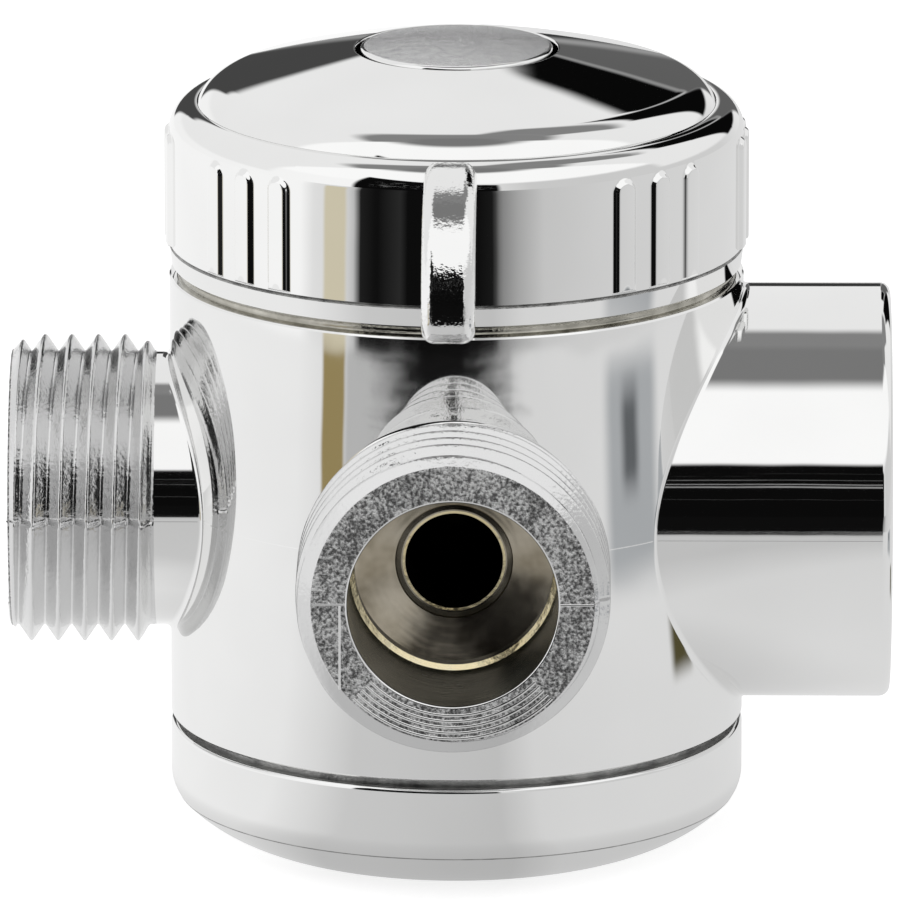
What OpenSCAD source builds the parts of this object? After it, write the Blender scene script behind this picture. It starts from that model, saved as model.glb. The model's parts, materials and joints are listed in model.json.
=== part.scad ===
// Three-way shower diverter with G 1/2 ports and a ceramic-disc cartridge.
// Axes: +X towards the female inlet, -Y towards the front outlet, +Z up the knob's axis.
// The origin is on the body's axis, on the surface that the base cap stands on.

/* [Body] */
// Outside radius of the upright body
body_r = 19.5; // [19:0.1:21]
// Height of the base cap's visible wall
base_h = 7.8; // [7:0.1:8.4]
// Height of the three ports' axes above the bottom
port_z = 23.7; // [23.2:0.1:24.2]
// Height of the body's top face
body_top = 39.05; // [38.9:0.05:39.2]
// Height of the groove between base cap and body
base_gap = 0.55; // [0.4:0.05:0.8]

/* [Ports] */
// Reach of the front outlet's end from the body's axis
front_reach = 30.9; // [30:0.1:32]
// Reach of the left outlet's end from the body's axis
left_reach = 30.3; // [30:0.1:32]
// Reach of the inlet socket's end from the body's axis
inlet_reach = 29.5; // [29:0.1:31]
// Outside radius of the inlet socket
socket_r = 14.1; // [13.5:0.1:14.5]
// Radius of the counterbore in the outlet nipples
mouth_r = 7; // [6.5:0.1:7.2]
// Depth of the counterbore in the outlet nipples
mouth_depth = 10.6; // [10:0.1:10.8]
// Length of thread on the outlet nipples
thread_len = 9.9; // [9:0.1:10.2]

/* [Knob] */
// Gap between the body's top face and the knob
knob_gap = 0.65; // [0.6:0.05:0.8]
// Height of the knob's skirt and shoulder
knob_h = 11.15; // [11.1:0.05:11.3]
// Radius of the dome let into the knob
dome_r = 17.6; // [17.4:0.1:17.8]
// How far the pointer reaches from the axis
pointer_reach = 27.2; // [26:0.1:28]
// Width of the pointer
pointer_w = 3.6; // [3:0.1:4]
// How far the ribs stand out of the skirt
rib_proud = 0.34; // [0.2:0.02:0.5]
// Where the pointer rests, in degrees off the front port's axis
pointer_rest = -0.75; // [-2:0.25:2]

/* [Hidden] */
$fn = 96;
over = 1; // how far a cutting tool runs past the face that it cuts
meet = 0.01; // how far a conical tool runs into the next bore

// G 1/2 pipe thread
thread_major_r = 10.4775;
thread_minor_r = 9.3155;
thread_pitch = 1.814;

// Colours
chrome_c = "silver";
brass_c = "goldenrod";
rubber_c = "dimgray";
ceramic_c = "linen";
plastic_c = "slategray";

// Inside of the body
chamber_r = 15.6;
chamber_top = 31.5;
cap_seat_r = 17;
cap_thread_r = 16.4;
body_bottom = base_h + base_gap;
seat_top = body_bottom + 2.4;
cap_thread_top = seat_top + 4;
deck_top = 34.5;
pocket_r = 12.5;
collar_r = 15.5;
collar_top = 44;
nut_thread_r = 13.5;
nut_thread_z = 41;

// Water ways
duct_r = 3.25;
duct_wall_r = 4.9;
step_h = 1; // height of the conical step at the bottom of the counterbore
down_r = 2.8;
down_wall_r = 4.3;
down_off = 7.6;
centre_r = 2.6;
inlet_r = 6;
socket_floor_x = 17.5;
socket_relief_x = 19.5;
washer_in_r = inlet_r - 0.3;

// Cartridge stack, from the deck up
seal_top = deck_top + 1.6;
seal_w = 1.3; // width of rubber round each water way
cart_base_z = deck_top + 0.1;
disc_z = 38;
disc_t = 2.4;
disc_r = 10.9;
film = 0.03; // water film between the two discs
moving_z = disc_z + disc_t + film;
moving_t = 2.6;
carrier_z = moving_z + moving_t;
carrier_t = 1.6;
carrier_r = 10.4;
drive_square = 6; // square end of the stem, in the carrier
drive_fit = 0.05;
tab_h = 0.75;
flange_z = carrier_z + carrier_t;
flange_t = 0.55;
washer_t = 0.35;
ceiling_z = flange_z + flange_t + washer_t + 0.1;
housing_r = 12.4;
housing_in_r = 11;
housing_z = disc_z - 1; // the housing stands on a shoulder of the cartridge's base
seal_groove_r = 11.55;
seal_groove_z = 39.2;
seal_groove_h = 1.4;
housing_top = ceiling_z + 1.5;
neck_r = 6.6;
neck_top = housing_top + 2.1;
stem_r = 4;
stem_fit = 0.05; // radial running clearance of the stem
spline_r = 3.9;
spline_fit = 0.02;
screw_r = 1.45;
stem_seal_z = [ceiling_z + 1.1, neck_top - 1.1];
stem_seal_wire_r = 0.44;
clip_groove_r = 3.2;
stem_top = 52.4;
clip_z = neck_top + 0.1;
clip_t = 0.6;

// Knob
knob_z = body_top + knob_gap;
knob_top = knob_z + knob_h;
skirt_in_r = 17.5;
flange_line_z = knob_z + 1.46;
shoulder_r = body_r - dome_r;
hub_r = 9;
hub_bore_r = 7.2;
hub_web_z = clip_z + clip_t + 0.15;
hub_top = 52.6;
ledge_z = knob_top - 0.75;
plate_z = knob_top - 1.95;
screw_washer_t = 0.4;
pointer_arc_r = 8.4;
pointer_bottom = knob_z + 0.55;
pointer_chin_r = 1.7;
rib_w = 1.8;
rib_pitch = 9.2;
rib_group = 45.6;

// Dome: a gently curved cone that rolls over into its edge
roll_r = 3.2;
roll_low = 27;
roll_high = 75;
dome_hole_r = 7;
dome_hole_z = 54.48;
dome_t = 1.2;
button_r = 6.4;
button_z = dome_hole_z + 0.16;
button_crown = 0.4;

function dome_roll_r(a) = dome_r - roll_r * (cos(roll_low) - cos(a));
function dome_roll_z(a) = knob_top + roll_r * (sin(a) - sin(roll_low));
function arc(cx, cy, r, a0, a1, n) = [for (i = [0:n]) let (a = a0 + (a1 - a0) * i / n)
                                      [cx + r * cos(a), cy + r * sin(a)]];

// A ring round Z from radius r0 to r1, from z0 up by h
module ring(r0, r1, z0, h) {
    translate([0, 0, z0])
        difference() {
            cylinder(r = r1, h = h);
            translate([0, 0, -over]) cylinder(r = r0, h = h + 2 * over);
        }
}

// An O-ring round Z
module oring(r, wire_r, z) {
    translate([0, 0, z]) rotate_extrude() translate([r, 0]) circle(r = wire_r, $fn = 32);
}

// Places children that are drawn round +Z so that they lie along -Y at port height
module along_front() {
    translate([0, 0, port_z]) rotate([90, 0, 0]) children();
}

// The same along -X
module along_left() {
    translate([0, 0, port_z]) rotate([0, -90, 0]) children();
}

// The same along +X
module along_right() {
    translate([0, 0, port_z]) rotate([0, 90, 0]) children();
}

// Turns children with the knob to its rest position
module with_knob() {
    rotate([0, 0, pointer_rest]) children();
}

// Outside of an outlet nipple, drawn along +Z from the body's axis
module nipple(reach) {
    lead = 1; // chamfer at the end
    end_r = thread_minor_r + 0.16;
    cylinder(r = thread_minor_r, h = reach);
    translate([0, 0, reach - thread_len])
        rotate_extrude()
            polygon([[0, 0], [thread_minor_r, 0], [thread_major_r, thread_pitch / 2],
                     [thread_major_r, thread_len - lead], [end_r, thread_len], [0, thread_len]]);
}

// Water way of an outlet nipple, with its counterbore, drawn along +Z
module nipple_way(reach) {
    translate([0, 0, down_off]) cylinder(r = duct_r, h = reach);
    translate([0, 0, reach - mouth_depth]) cylinder(r = mouth_r, h = mouth_depth + over);
    translate([0, 0, reach - mouth_depth - step_h])
        cylinder(r1 = duct_r, r2 = mouth_r - 0.25, h = step_h + meet);
}

// Cast wall of an outlet's duct inside the chamber, drawn along +Z
module elbow_wall() {
    translate([0, 0, down_off]) cylinder(r = duct_wall_r, h = chamber_r - down_off + 1);
}

// Down pipes of the two outlets
module down_pipes(r, z0, z1) {
    translate([0, -down_off, z0]) cylinder(r = r, h = z1 - z0);
    translate([-down_off, 0, z0]) cylinder(r = r, h = z1 - z0);
}

// Inside of the female inlet, drawn along +Z: water way, seat of the washer, thread and lead-in
module socket_way() {
    relief_r = thread_major_r - 0.3;
    lead = 1.2;
    lead_r = thread_major_r + 0.2;
    translate([0, 0, chamber_r - 4]) cylinder(r = inlet_r, h = inlet_reach);
    translate([0, 0, socket_floor_x]) cylinder(r = relief_r, h = socket_relief_x - socket_floor_x);
    translate([0, 0, socket_floor_x]) cylinder(r = thread_minor_r, h = inlet_reach);
    translate([0, 0, inlet_reach - lead]) cylinder(r1 = thread_minor_r, r2 = lead_r, h = lead + meet);
}

// The upright body with its three ports, bored for cap, chamber and cartridge
module body_shell() {
    difference() {
        union() {
            translate([0, 0, body_bottom]) cylinder(r = body_r, h = body_top - body_bottom, $fn = 180);
            translate([0, 0, body_top - over]) cylinder(r = collar_r, h = collar_top - body_top + over);
            along_front() nipple(front_reach);
            along_left() nipple(left_reach);
            along_right() cylinder(r = socket_r, h = inlet_reach);
        }
        translate([0, 0, body_bottom - over]) cylinder(r = cap_seat_r, h = seat_top - body_bottom + over);
        translate([0, 0, seat_top - over]) cylinder(r = cap_thread_r, h = cap_thread_top - seat_top + over);
        translate([0, 0, seat_top]) cylinder(r = chamber_r, h = chamber_top - seat_top);
        translate([0, 0, deck_top]) cylinder(r = pocket_r, h = collar_top);
        translate([0, 0, nut_thread_z]) cylinder(r = nut_thread_r, h = collar_top);
    }
}

module valve_body() {
    color(chrome_c)
        difference() {
            union() {
                body_shell();
                along_front() elbow_wall();
                along_left() elbow_wall();
                down_pipes(down_wall_r, port_z, chamber_top + over / 2);
                translate([0, -down_off, port_z]) sphere(r = duct_wall_r);
                translate([-down_off, 0, port_z]) sphere(r = duct_wall_r);
            }
            along_front() nipple_way(front_reach);
            along_left() nipple_way(left_reach);
            translate([0, -down_off, port_z]) sphere(r = duct_r);
            translate([-down_off, 0, port_z]) sphere(r = duct_r);
            down_pipes(down_r, port_z, deck_top + over);
            translate([0, 0, chamber_top - over])
                cylinder(r = centre_r, h = deck_top - chamber_top + 2 * over);
            along_right() socket_way();
        }
}

// Wall, rounded lower edge and shallow convex underside of the base cap, flat in its middle
module base_cap_outline() {
    bevel = 0.35;
    edge_r = 2.5;
    edge_z = 4.2;
    edge_end = -33;
    step = [0.05, 0.09]; // fine step where the rounded edge meets the underside
    under_r = 10.3;
    under_a0 = -44;
    edge = arc(body_r - edge_r, edge_z, edge_r, 0, edge_end, 8);
    start = edge[8] - step;
    centre = start - under_r * [cos(under_a0), sin(under_a0)];
    under_a1 = -asin(centre[1] / under_r);
    under = arc(centre[0], centre[1], under_r, under_a0, under_a1, 12);
    polygon(concat([[0, base_h], [body_r - bevel, base_h], [body_r, base_h - bevel]],
                   edge, under, [[0, 0]]));
}

module base_cap() {
    groove_r = 18.7;
    bore_floor = 5.5;
    bore_r = 14;
    spanner_x = 9;
    spanner_r = 1.6;
    spanner_depth = 2.6;
    color(chrome_c)
        difference() {
            union() {
                rotate_extrude($fn = 180) base_cap_outline();
                translate([0, 0, base_h - over]) cylinder(r = groove_r, h = base_gap + over);
                translate([0, 0, base_h]) cylinder(r = cap_thread_r - 0.1, h = cap_thread_top - base_h);
                translate([0, 0, base_h]) cylinder(r = cap_seat_r - 0.05, h = base_gap + 0.7);
            }
            translate([0, 0, bore_floor]) cylinder(r = bore_r, h = cap_thread_top);
            for (x = [-spanner_x, spanner_x])
                translate([x, 0, -over]) cylinder(r = spanner_r, h = spanner_depth + over);
        }
}

module base_cap_oring() {
    color(rubber_c) ring(cap_thread_r - 0.1, cap_seat_r - 0.02, body_bottom + 0.75, 1.6);
}

module inlet_washer() {
    color(rubber_c)
        along_right() ring(washer_in_r, thread_minor_r - 0.1, socket_floor_x, 2);
}

// Fine screen: crossed wires in a flat ring, held in the washer
module inlet_screen() {
    screen_r = washer_in_r - 0.05;
    rim_w = 0.8;
    rim_t = 0.8;
    wire = 0.3;
    wire_pitch = 1.05;
    screen_z = socket_floor_x + 0.6;
    color("lightgray")
        along_right() {
            ring(screen_r - rim_w, screen_r, screen_z, rim_t);
            intersection() {
                translate([0, 0, screen_z]) cylinder(r = screen_r - rim_w / 2, h = rim_t);
                for (i = [-4:4], turn = [0, 90])
                    rotate([0, 0, turn])
                        translate([-screen_r, i * wire_pitch - wire / 2, screen_z + (rim_t - wire) / 2])
                            cube([2 * screen_r, wire, wire]);
            }
        }
}

// Plan of the three seal rings, grown by extra
module seal_plan(extra) {
    circle(r = centre_r + seal_w + extra);
    translate([0, -down_off]) circle(r = down_r + seal_w + extra);
    translate([-down_off, 0]) circle(r = down_r + seal_w + extra);
}

// The three water ways through the cartridge, from z0 up by h
module way_holes(z0, h) {
    translate([0, 0, z0]) cylinder(r = centre_r, h = h);
    down_pipes(down_r, z0, z0 + h);
}

module port_seal() {
    color(rubber_c)
        difference() {
            translate([0, 0, deck_top]) linear_extrude(height = seal_top - deck_top) seal_plan(0);
            way_holes(deck_top - over, seal_top - deck_top + 2 * over);
        }
}

// Two keys between the cartridge's base and its fixed disc
module disc_keys(r, h) {
    key_off = disc_r - 1.4;
    for (a = [45, 225])
        rotate([0, 0, a]) translate([key_off, 0, disc_z - over]) cylinder(r = r, h = over + h);
}

module cartridge_base() {
    color(plastic_c)
        difference() {
            union() {
                translate([0, 0, cart_base_z]) cylinder(r = housing_r, h = disc_z - cart_base_z);
                disc_keys(1.2, 1.6);
            }
            way_holes(deck_top - over, disc_z);
            translate([0, 0, deck_top - over])
                linear_extrude(height = seal_top - deck_top + over) seal_plan(0.05);
            ring(housing_in_r - 0.02, housing_r + over, housing_z, 2 * over);
        }
}

module fixed_disc() {
    color(ceramic_c)
        difference() {
            translate([0, 0, disc_z]) cylinder(r = disc_r, h = disc_t);
            way_holes(disc_z - over, disc_t + 2 * over);
            disc_keys(1.25, 1.7);
        }
}

// Sector-shaped channel plan that points to -Y
module channel_plan() {
    circle(r = centre_r + 0.3);
    intersection() {
        circle(r = down_off + down_r + 0.1);
        polygon([[0, 0], [-12, -14], [12, -14]]);
    }
}

// Three drive tabs on the carrier's rim, from z0 up by h
module drive_tabs(grow, z0, h) {
    tab_w = 3 + 2 * grow;
    for (a = [90, 210, 330])
        rotate([0, 0, a]) translate([carrier_r - 2 - grow, -tab_w / 2, z0]) cube([4, tab_w, h]);
}

module moving_disc() {
    channel_h = 1.4;
    color(ceramic_c)
        with_knob()
            difference() {
                translate([0, 0, moving_z]) cylinder(r = disc_r - 0.3, h = moving_t);
                translate([0, 0, moving_z - over]) linear_extrude(height = channel_h + over) channel_plan();
                drive_tabs(drive_fit, carrier_z - tab_h - drive_fit, over + tab_h);
            }
}

module disc_carrier() {
    socket_w = drive_square;
    color(plastic_c)
        with_knob()
            difference() {
                union() {
                    translate([0, 0, carrier_z]) cylinder(r = carrier_r, h = carrier_t);
                    intersection() {
                        drive_tabs(0, carrier_z - tab_h, over);
                        cylinder(r = carrier_r, h = stem_top);
                    }
                }
                translate([-socket_w / 2, -socket_w / 2, carrier_z + 0.3])
                    cube([socket_w, socket_w, carrier_t]);
            }
}

module cartridge_housing() {
    color(plastic_c)
        difference() {
            union() {
                translate([0, 0, housing_z]) cylinder(r = housing_r, h = housing_top - housing_z);
                translate([0, 0, housing_top - over]) cylinder(r = neck_r, h = neck_top - housing_top + over);
            }
            translate([0, 0, housing_z - over]) cylinder(r = housing_in_r, h = ceiling_z - housing_z + over);
            cylinder(r = stem_r + stem_fit, h = stem_top);
            ring(seal_groove_r, housing_r + over, seal_groove_z, seal_groove_h);
        }
}

module cartridge_oring() {
    color(rubber_c) ring(seal_groove_r + 0.05, pocket_r - 0.02, seal_groove_z + 0.05, seal_groove_h - 0.1);
}

// Stem: square end, thrust flange, round shaft with two seal grooves and a clip groove, splined top
module stem() {
    square_w = drive_square - 2 * drive_fit;
    flange_r = 7;
    tooth_h = 0.5;
    tooth_w = 0.6;
    seal_groove_w = 1.1;
    seal_groove_d = 0.9;
    screw_depth = 9;
    color(brass_c)
        with_knob()
            difference() {
                union() {
                    translate([-square_w / 2, -square_w / 2, carrier_z + 0.35])
                        cube([square_w, square_w, carrier_t]);
                    translate([0, 0, flange_z]) cylinder(r = flange_r, h = flange_t);
                    translate([0, 0, flange_z]) cylinder(r = stem_r, h = clip_z + clip_t + 0.1 - flange_z);
                    translate([0, 0, clip_z]) cylinder(r = spline_r - 0.3, h = stem_top - clip_z);
                    for (a = [0:20:340])
                        rotate([0, 0, a])
                            translate([spline_r - tooth_h, -tooth_w / 2, hub_web_z])
                                cube([tooth_h, tooth_w, stem_top - hub_web_z]);
                }
                for (z = stem_seal_z)
                    ring(stem_r - seal_groove_d, stem_r + over, z - seal_groove_w / 2, seal_groove_w);
                ring(clip_groove_r, stem_r + over, clip_z, clip_t);
                translate([0, 0, stem_top - screw_depth])
                    cylinder(r = screw_r + 0.05, h = screw_depth + over);
            }
}

module stem_orings() {
    color(rubber_c)
        with_knob()
            for (z = stem_seal_z) oring(stem_r + 0.02 - stem_seal_wire_r, stem_seal_wire_r, z);
}

module thrust_washer() {
    color("ivory") ring(stem_r + 0.1, 7, flange_z + flange_t + 0.05, washer_t);
}

module stem_clip() {
    clip_r = 6;
    mouth_w = 3.2;
    side_fit = 0.02;
    color("gainsboro")
        with_knob()
            difference() {
                ring(clip_groove_r + side_fit, clip_r, clip_z + side_fit, clip_t - 2 * side_fit);
                translate([0, -mouth_w / 2, clip_z - over]) cube([clip_r + over, mouth_w, clip_t + 2 * over]);
            }
}

module bonnet_nut() {
    lid_t = 1.5;
    nut_top = housing_top + lid_t;
    hex_r = 15.4;
    thread_z = nut_thread_z + 0.2;
    color(brass_c)
        difference() {
            union() {
                translate([0, 0, thread_z]) cylinder(r = nut_thread_r - 0.05, h = collar_top - nut_thread_z);
                translate([0, 0, collar_top]) cylinder(r = hex_r, h = nut_top - collar_top, $fn = 6);
            }
            translate([0, 0, nut_thread_z - over])
                cylinder(r = housing_r + 0.1, h = housing_top - nut_thread_z + over);
            cylinder(r = neck_r + 0.4, h = stem_top);
        }
}

module glide_ring() {
    color("lightgray") ring(skirt_in_r, body_r - 0.75, body_top, knob_gap - 0.05);
}

// Stop ring: a collar with a gap that the knob's lug travels in
stop_margin = 0.6; // play left at each end, in degrees
stop_h = 2.4;
stop_floor = 0.6;
lug_half = 9;
lug_at = 135; // the lug sits opposite the middle of the travel

module stop_ring() {
    low = lug_at - 90 - lug_half - stop_margin;
    high = lug_at + lug_half + stop_margin;
    far = 2 * body_r;
    color("dimgray")
        difference() {
            ring(collar_r + 0.02, collar_r + 1.5, body_top, stop_h);
            translate([0, 0, body_top + stop_floor])
                linear_extrude(height = stop_h)
                    polygon(concat([[0, 0]], arc(0, 0, far, low, high, 6)));
        }
}

// One rib, standing out of the skirt along +X: square foot and round top
module rib() {
    foot_z = flange_line_z + 0.2;
    head_z = knob_top - 1.7;
    straight = head_z - rib_w / 2 - foot_z;
    root = 0.5; // how far it is let into the skirt
    translate([body_r - root, 0, foot_z])
        rotate([90, 0, 90])
            linear_extrude(height = root + rib_proud)
                polygon(concat([[-rib_w / 2, 0], [rib_w / 2, 0]], arc(0, straight, rib_w / 2, 0, 180, 8)));
}

// The knob's ribs: seven groups of three round the skirt, none at the pointer
module ribs() {
    group_step = (360 - 2 * rib_group) / 6;
    for (g = [0:6], i = [-1:1])
        rotate([0, 0, -90 + rib_group + g * group_step + i * rib_pitch]) rib();
}

// Side view of the pointer: flat top, one arc down its front, rounded chin
module pointer_side() {
    root_x = skirt_in_r + 0.3;
    top_z = knob_top - 0.05;
    polygon(concat([[root_x, top_z]],
                   arc(pointer_reach - pointer_arc_r, top_z - pointer_arc_r, pointer_arc_r, 90, 0, 16),
                   arc(pointer_reach - pointer_chin_r, pointer_bottom + pointer_chin_r, pointer_chin_r,
                       0, -90, 8),
                   [[root_x, pointer_bottom]]));
}

// Front view and plan of the pointer: a strip with rounded corners
module pointer_strip(edge_r, y0, y1) {
    translate([-pointer_w / 2 + edge_r, y0]) square([pointer_w - 2 * edge_r, y1 - y0]);
    translate([-pointer_w / 2, y0 + edge_r]) square([pointer_w, y1 - y0 - 2 * edge_r]);
    for (x = [-1, 1], y = [y0 + edge_r, y1 - edge_r])
        translate([x * (pointer_w / 2 - edge_r), y]) circle(r = edge_r, $fn = 32);
}

module pointer() {
    front_edge_r = 1.1;
    plan_edge_r = 0.9;
    intersection() {
        rotate([90, 0, -90])
            translate([0, 0, -pointer_w / 2]) linear_extrude(height = pointer_w) pointer_side();
        translate([0, -skirt_in_r - 0.2, 0])
            rotate([90, 0, 0])
                linear_extrude(height = pointer_reach) pointer_strip(front_edge_r, pointer_bottom, knob_top);
        linear_extrude(height = knob_top + over) pointer_strip(plan_edge_r, -pointer_reach, -body_r + 4);
    }
}

// Section of the knob: skirt, lower flange band, shoulder, plate and hub
module knob_outline() {
    wall_top = knob_top - shoulder_r;
    band = 0.12; // depth of the fine groove between the skirt and the flange band under it
    bevel = 0.3;
    fillet = 1;
    bore_r = spline_r + spline_fit;
    polygon(concat([[skirt_in_r, knob_z], [body_r - bevel, knob_z], [body_r, knob_z + bevel],
                    [body_r, flange_line_z - band], [body_r - band, flange_line_z],
                    [body_r, flange_line_z + band]],
                   arc(dome_r, wall_top, shoulder_r, 0, 90, 12),
                   [[dome_r, ledge_z], [hub_r, ledge_z], [hub_r, hub_top], [bore_r, hub_top],
                    [bore_r, hub_web_z], [hub_bore_r, hub_web_z], [hub_bore_r, plate_z],
                    [skirt_in_r - fillet, plate_z], [skirt_in_r, plate_z - fillet]]));
}

// Lug inside the skirt that meets the stop ring
module stop_lug() {
    lug_z = body_top + stop_floor + 0.35;
    lug_r = collar_r + 0.3;
    far = 2 * body_r;
    intersection() {
        ring(lug_r, skirt_in_r + 0.5, lug_z, plate_z + 0.05 - lug_z);
        translate([0, 0, body_top])
            linear_extrude(height = knob_h)
                polygon(concat([[0, 0]], arc(0, 0, far, lug_at - lug_half, lug_at + lug_half, 4)));
    }
}

module knob() {
    color(chrome_c)
        with_knob() {
            rotate_extrude($fn = 180) knob_outline();
            ribs();
            pointer();
            stop_lug();
        }
}

// Section of the dome: rim wall, rolled edge, curved cone up to the button's hole
module dome_outline() {
    fit = 0.03;
    bulge = 0.08; // how far the cone stands above a straight one
    bevel = 0.15;
    rim_w = 1.8;
    start = [dome_roll_r(roll_high), dome_roll_z(roll_high)];
    mid = [(start[0] + dome_hole_r) / 2, (start[1] + dome_hole_z) / 2 + bulge];
    under = dome_t + 0.1;
    polygon(concat([[dome_r - fit, ledge_z]],
                   [for (i = [0:10]) let (a = roll_low + (roll_high - roll_low) * i / 10)
                    [dome_roll_r(a) - fit, dome_roll_z(a)]],
                   [mid, [dome_hole_r + bevel, dome_hole_z], [dome_hole_r, dome_hole_z - bevel],
                    [dome_hole_r, dome_hole_z - dome_t], mid - [0, under],
                    start - [dome_t / 2, under + 0.1], [dome_r - rim_w, ledge_z]]));
}

module knob_dome() {
    color(chrome_c) with_knob() rotate_extrude($fn = 180) dome_outline();
}

// Button: a shallow crowned disc whose skirt stands on the hub, hollow over the screw
module knob_button() {
    edge = 0.2;
    cavity_r = 5.2;
    cavity_h = 1.55;
    crown_r = (pow(button_r, 2) + pow(button_crown, 2)) / (2 * button_crown);
    crown_a = asin((button_r - edge) / crown_r);
    crown_z = button_z + button_crown - crown_r;
    color("lightgray")
        with_knob()
            difference() {
                rotate_extrude()
                    polygon(concat([[0, hub_top], [button_r - edge, hub_top], [button_r, hub_top + edge],
                                    [button_r, button_z - edge / 2]],
                                   arc(0, crown_z, crown_r, 90 - crown_a, 90, 8)));
                translate([0, 0, hub_top - over]) cylinder(r = cavity_r, h = cavity_h + over);
            }
}

module knob_screw() {
    head_z = hub_top + screw_washer_t;
    head_r = 3;
    head_h = 0.9;
    shank = 7;
    slot_w = 0.7;
    slot_len = 4;
    slot_depth = 0.45;
    color("silver")
        with_knob()
            difference() {
                union() {
                    translate([0, 0, head_z - shank]) cylinder(r = screw_r, h = shank + meet);
                    translate([0, 0, head_z]) cylinder(r = head_r, h = head_h);
                }
                for (turn = [0, 90])
                    rotate([0, 0, turn])
                        translate([-slot_len / 2, -slot_w / 2, head_z + head_h - slot_depth])
                            cube([slot_len, slot_w, over]);
            }
}

module screw_washer() {
    washer_r = 4.6;
    color("gray") with_knob() ring(screw_r + 0.15, washer_r, hub_top, screw_washer_t);
}

valve_body();
base_cap();
base_cap_oring();
inlet_washer();
inlet_screen();
port_seal();
cartridge_base();
fixed_disc();
moving_disc();
disc_carrier();
cartridge_housing();
cartridge_oring();
stem();
stem_orings();
thrust_washer();
stem_clip();
bonnet_nut();
glide_ring();
stop_ring();
knob();
knob_dome();
knob_button();
knob_screw();
screw_washer();
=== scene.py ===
"""Looks of the three-way diverter valve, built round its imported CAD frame.

Lengths are in millimetres inside the script, in the CAD's own axes (+X inlet, -Y front outlet, +Z knob),
and become metres where a mesh is made.
"""
import json
import math

import bpy
import numpy as np
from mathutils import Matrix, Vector, geometry


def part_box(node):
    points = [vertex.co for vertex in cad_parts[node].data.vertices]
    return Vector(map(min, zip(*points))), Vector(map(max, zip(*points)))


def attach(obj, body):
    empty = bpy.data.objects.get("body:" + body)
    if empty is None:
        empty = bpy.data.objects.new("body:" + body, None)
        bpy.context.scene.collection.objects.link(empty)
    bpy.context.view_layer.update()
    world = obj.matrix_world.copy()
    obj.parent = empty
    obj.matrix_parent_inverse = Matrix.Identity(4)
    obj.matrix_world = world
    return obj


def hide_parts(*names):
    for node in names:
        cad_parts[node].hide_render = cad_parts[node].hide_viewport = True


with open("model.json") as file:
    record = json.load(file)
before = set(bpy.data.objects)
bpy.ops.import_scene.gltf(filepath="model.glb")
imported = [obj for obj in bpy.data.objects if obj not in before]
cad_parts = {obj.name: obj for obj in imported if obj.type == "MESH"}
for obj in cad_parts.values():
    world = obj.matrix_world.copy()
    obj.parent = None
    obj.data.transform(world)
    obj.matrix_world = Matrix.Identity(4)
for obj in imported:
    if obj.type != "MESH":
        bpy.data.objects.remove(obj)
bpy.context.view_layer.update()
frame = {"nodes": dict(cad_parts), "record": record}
MM = 0.001


def cad(node):
    """Lowest and highest corner of a CAD node, in millimetres."""
    lo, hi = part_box(node)
    return lo / MM, hi / MM


def mount(name):
    """Place of one of the record's mounts, in millimetres."""
    found = next(m for m in frame["record"]["mounts"] if m["name"] == name)
    return Vector(found["pos_m"]) / MM


# ---------------------------------------------------------------- sizes
BODY_LO, BODY_HI = cad("valve_body")
_, CAP_HI = cad("base_cap")
KNOB_LO, KNOB_HI = cad("knob")
DOME_LO, _ = cad("knob_dome")
BUTTON_LO, BUTTON_HI = cad("knob_button")
GLIDE_LO, GLIDE_HI = cad("glide_ring")
_, CLIP_HI = cad("stem_clip")

BODY_R = CAP_HI.x
BODY_BOTTOM = BODY_LO.z
BODY_TOP = GLIDE_LO.z
PORT_Z = mount("inlet").z
FRONT_REACH = -BODY_LO.y
LEFT_REACH = -BODY_LO.x
INLET_REACH = BODY_HI.x
POINTER_TURN = math.radians(-0.75)  # the pointer rests a little off the front port's axis

THREAD_MAJOR = 10.4775  # G 1/2
THREAD_MINOR = 9.3155
PITCH = 1.814
THREAD_LEN = 9.9
SOCKET_R = 14.1
SOCKET_EDGE = 0.7
MOUTH_R = 7.0
MOUTH_DEPTH = 10.6
DUCT_R = 3.25
AROUND = 192  # points round a ring


# ---------------------------------------------------------------- surfaces
class Shell:
    """A surface collected patch by patch. Patches meet at shared points but keep their own normals."""

    def __init__(self):
        self.keys = {}
        self.points = []
        self.faces = []
        self.normals = []
        self.slots = []

    def point(self, p):
        key = (round(p[0] * 5000), round(p[1] * 5000), round(p[2] * 5000))
        if key not in self.keys:
            self.keys[key] = len(self.points)
            self.points.append((p[0], p[1], p[2]))
        return self.keys[key]

    def patch(self, points, normals, faces, slot=0):
        """Adds faces, wound so that they face the way their normals do."""
        points = np.asarray(points, float)
        normals = np.asarray(normals, float)
        index = [self.point(p) for p in points]
        for face in faces:
            kept = [k for n, k in enumerate(face) if index[k] != index[face[n - 1]]]
            if len({index[k] for k in kept}) < 3 or len({index[k] for k in kept}) < len(kept):
                continue
            a, b, c = points[kept[0]], points[kept[1]], points[kept[-1]]
            if np.dot(np.cross(b - a, c - a), normals[kept].sum(0)) < 0:
                kept.reverse()
            self.faces.append([index[k] for k in kept])
            self.normals.extend(tuple(normals[k]) for k in kept)
            self.slots.append(slot)

    def build(self, name, body, materials, replaces=()):
        """Makes the mesh object, in metres, riding on a CAD body."""
        mesh = bpy.data.meshes.new(name)
        mesh.from_pydata((np.array(self.points) * MM).tolist(), [], self.faces)
        for material in materials:
            mesh.materials.append(material)
        mesh.polygons.foreach_set("material_index", self.slots)
        mesh.polygons.foreach_set("use_smooth", [True] * len(self.faces))
        mesh.normals_split_custom_set([Vector(n).normalized() for n in self.normals])
        piece = bpy.data.objects.new(name, mesh)
        bpy.context.scene.collection.objects.link(piece)
        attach(piece, body)
        if replaces:
            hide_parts(*replaces)
        return piece


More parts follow.
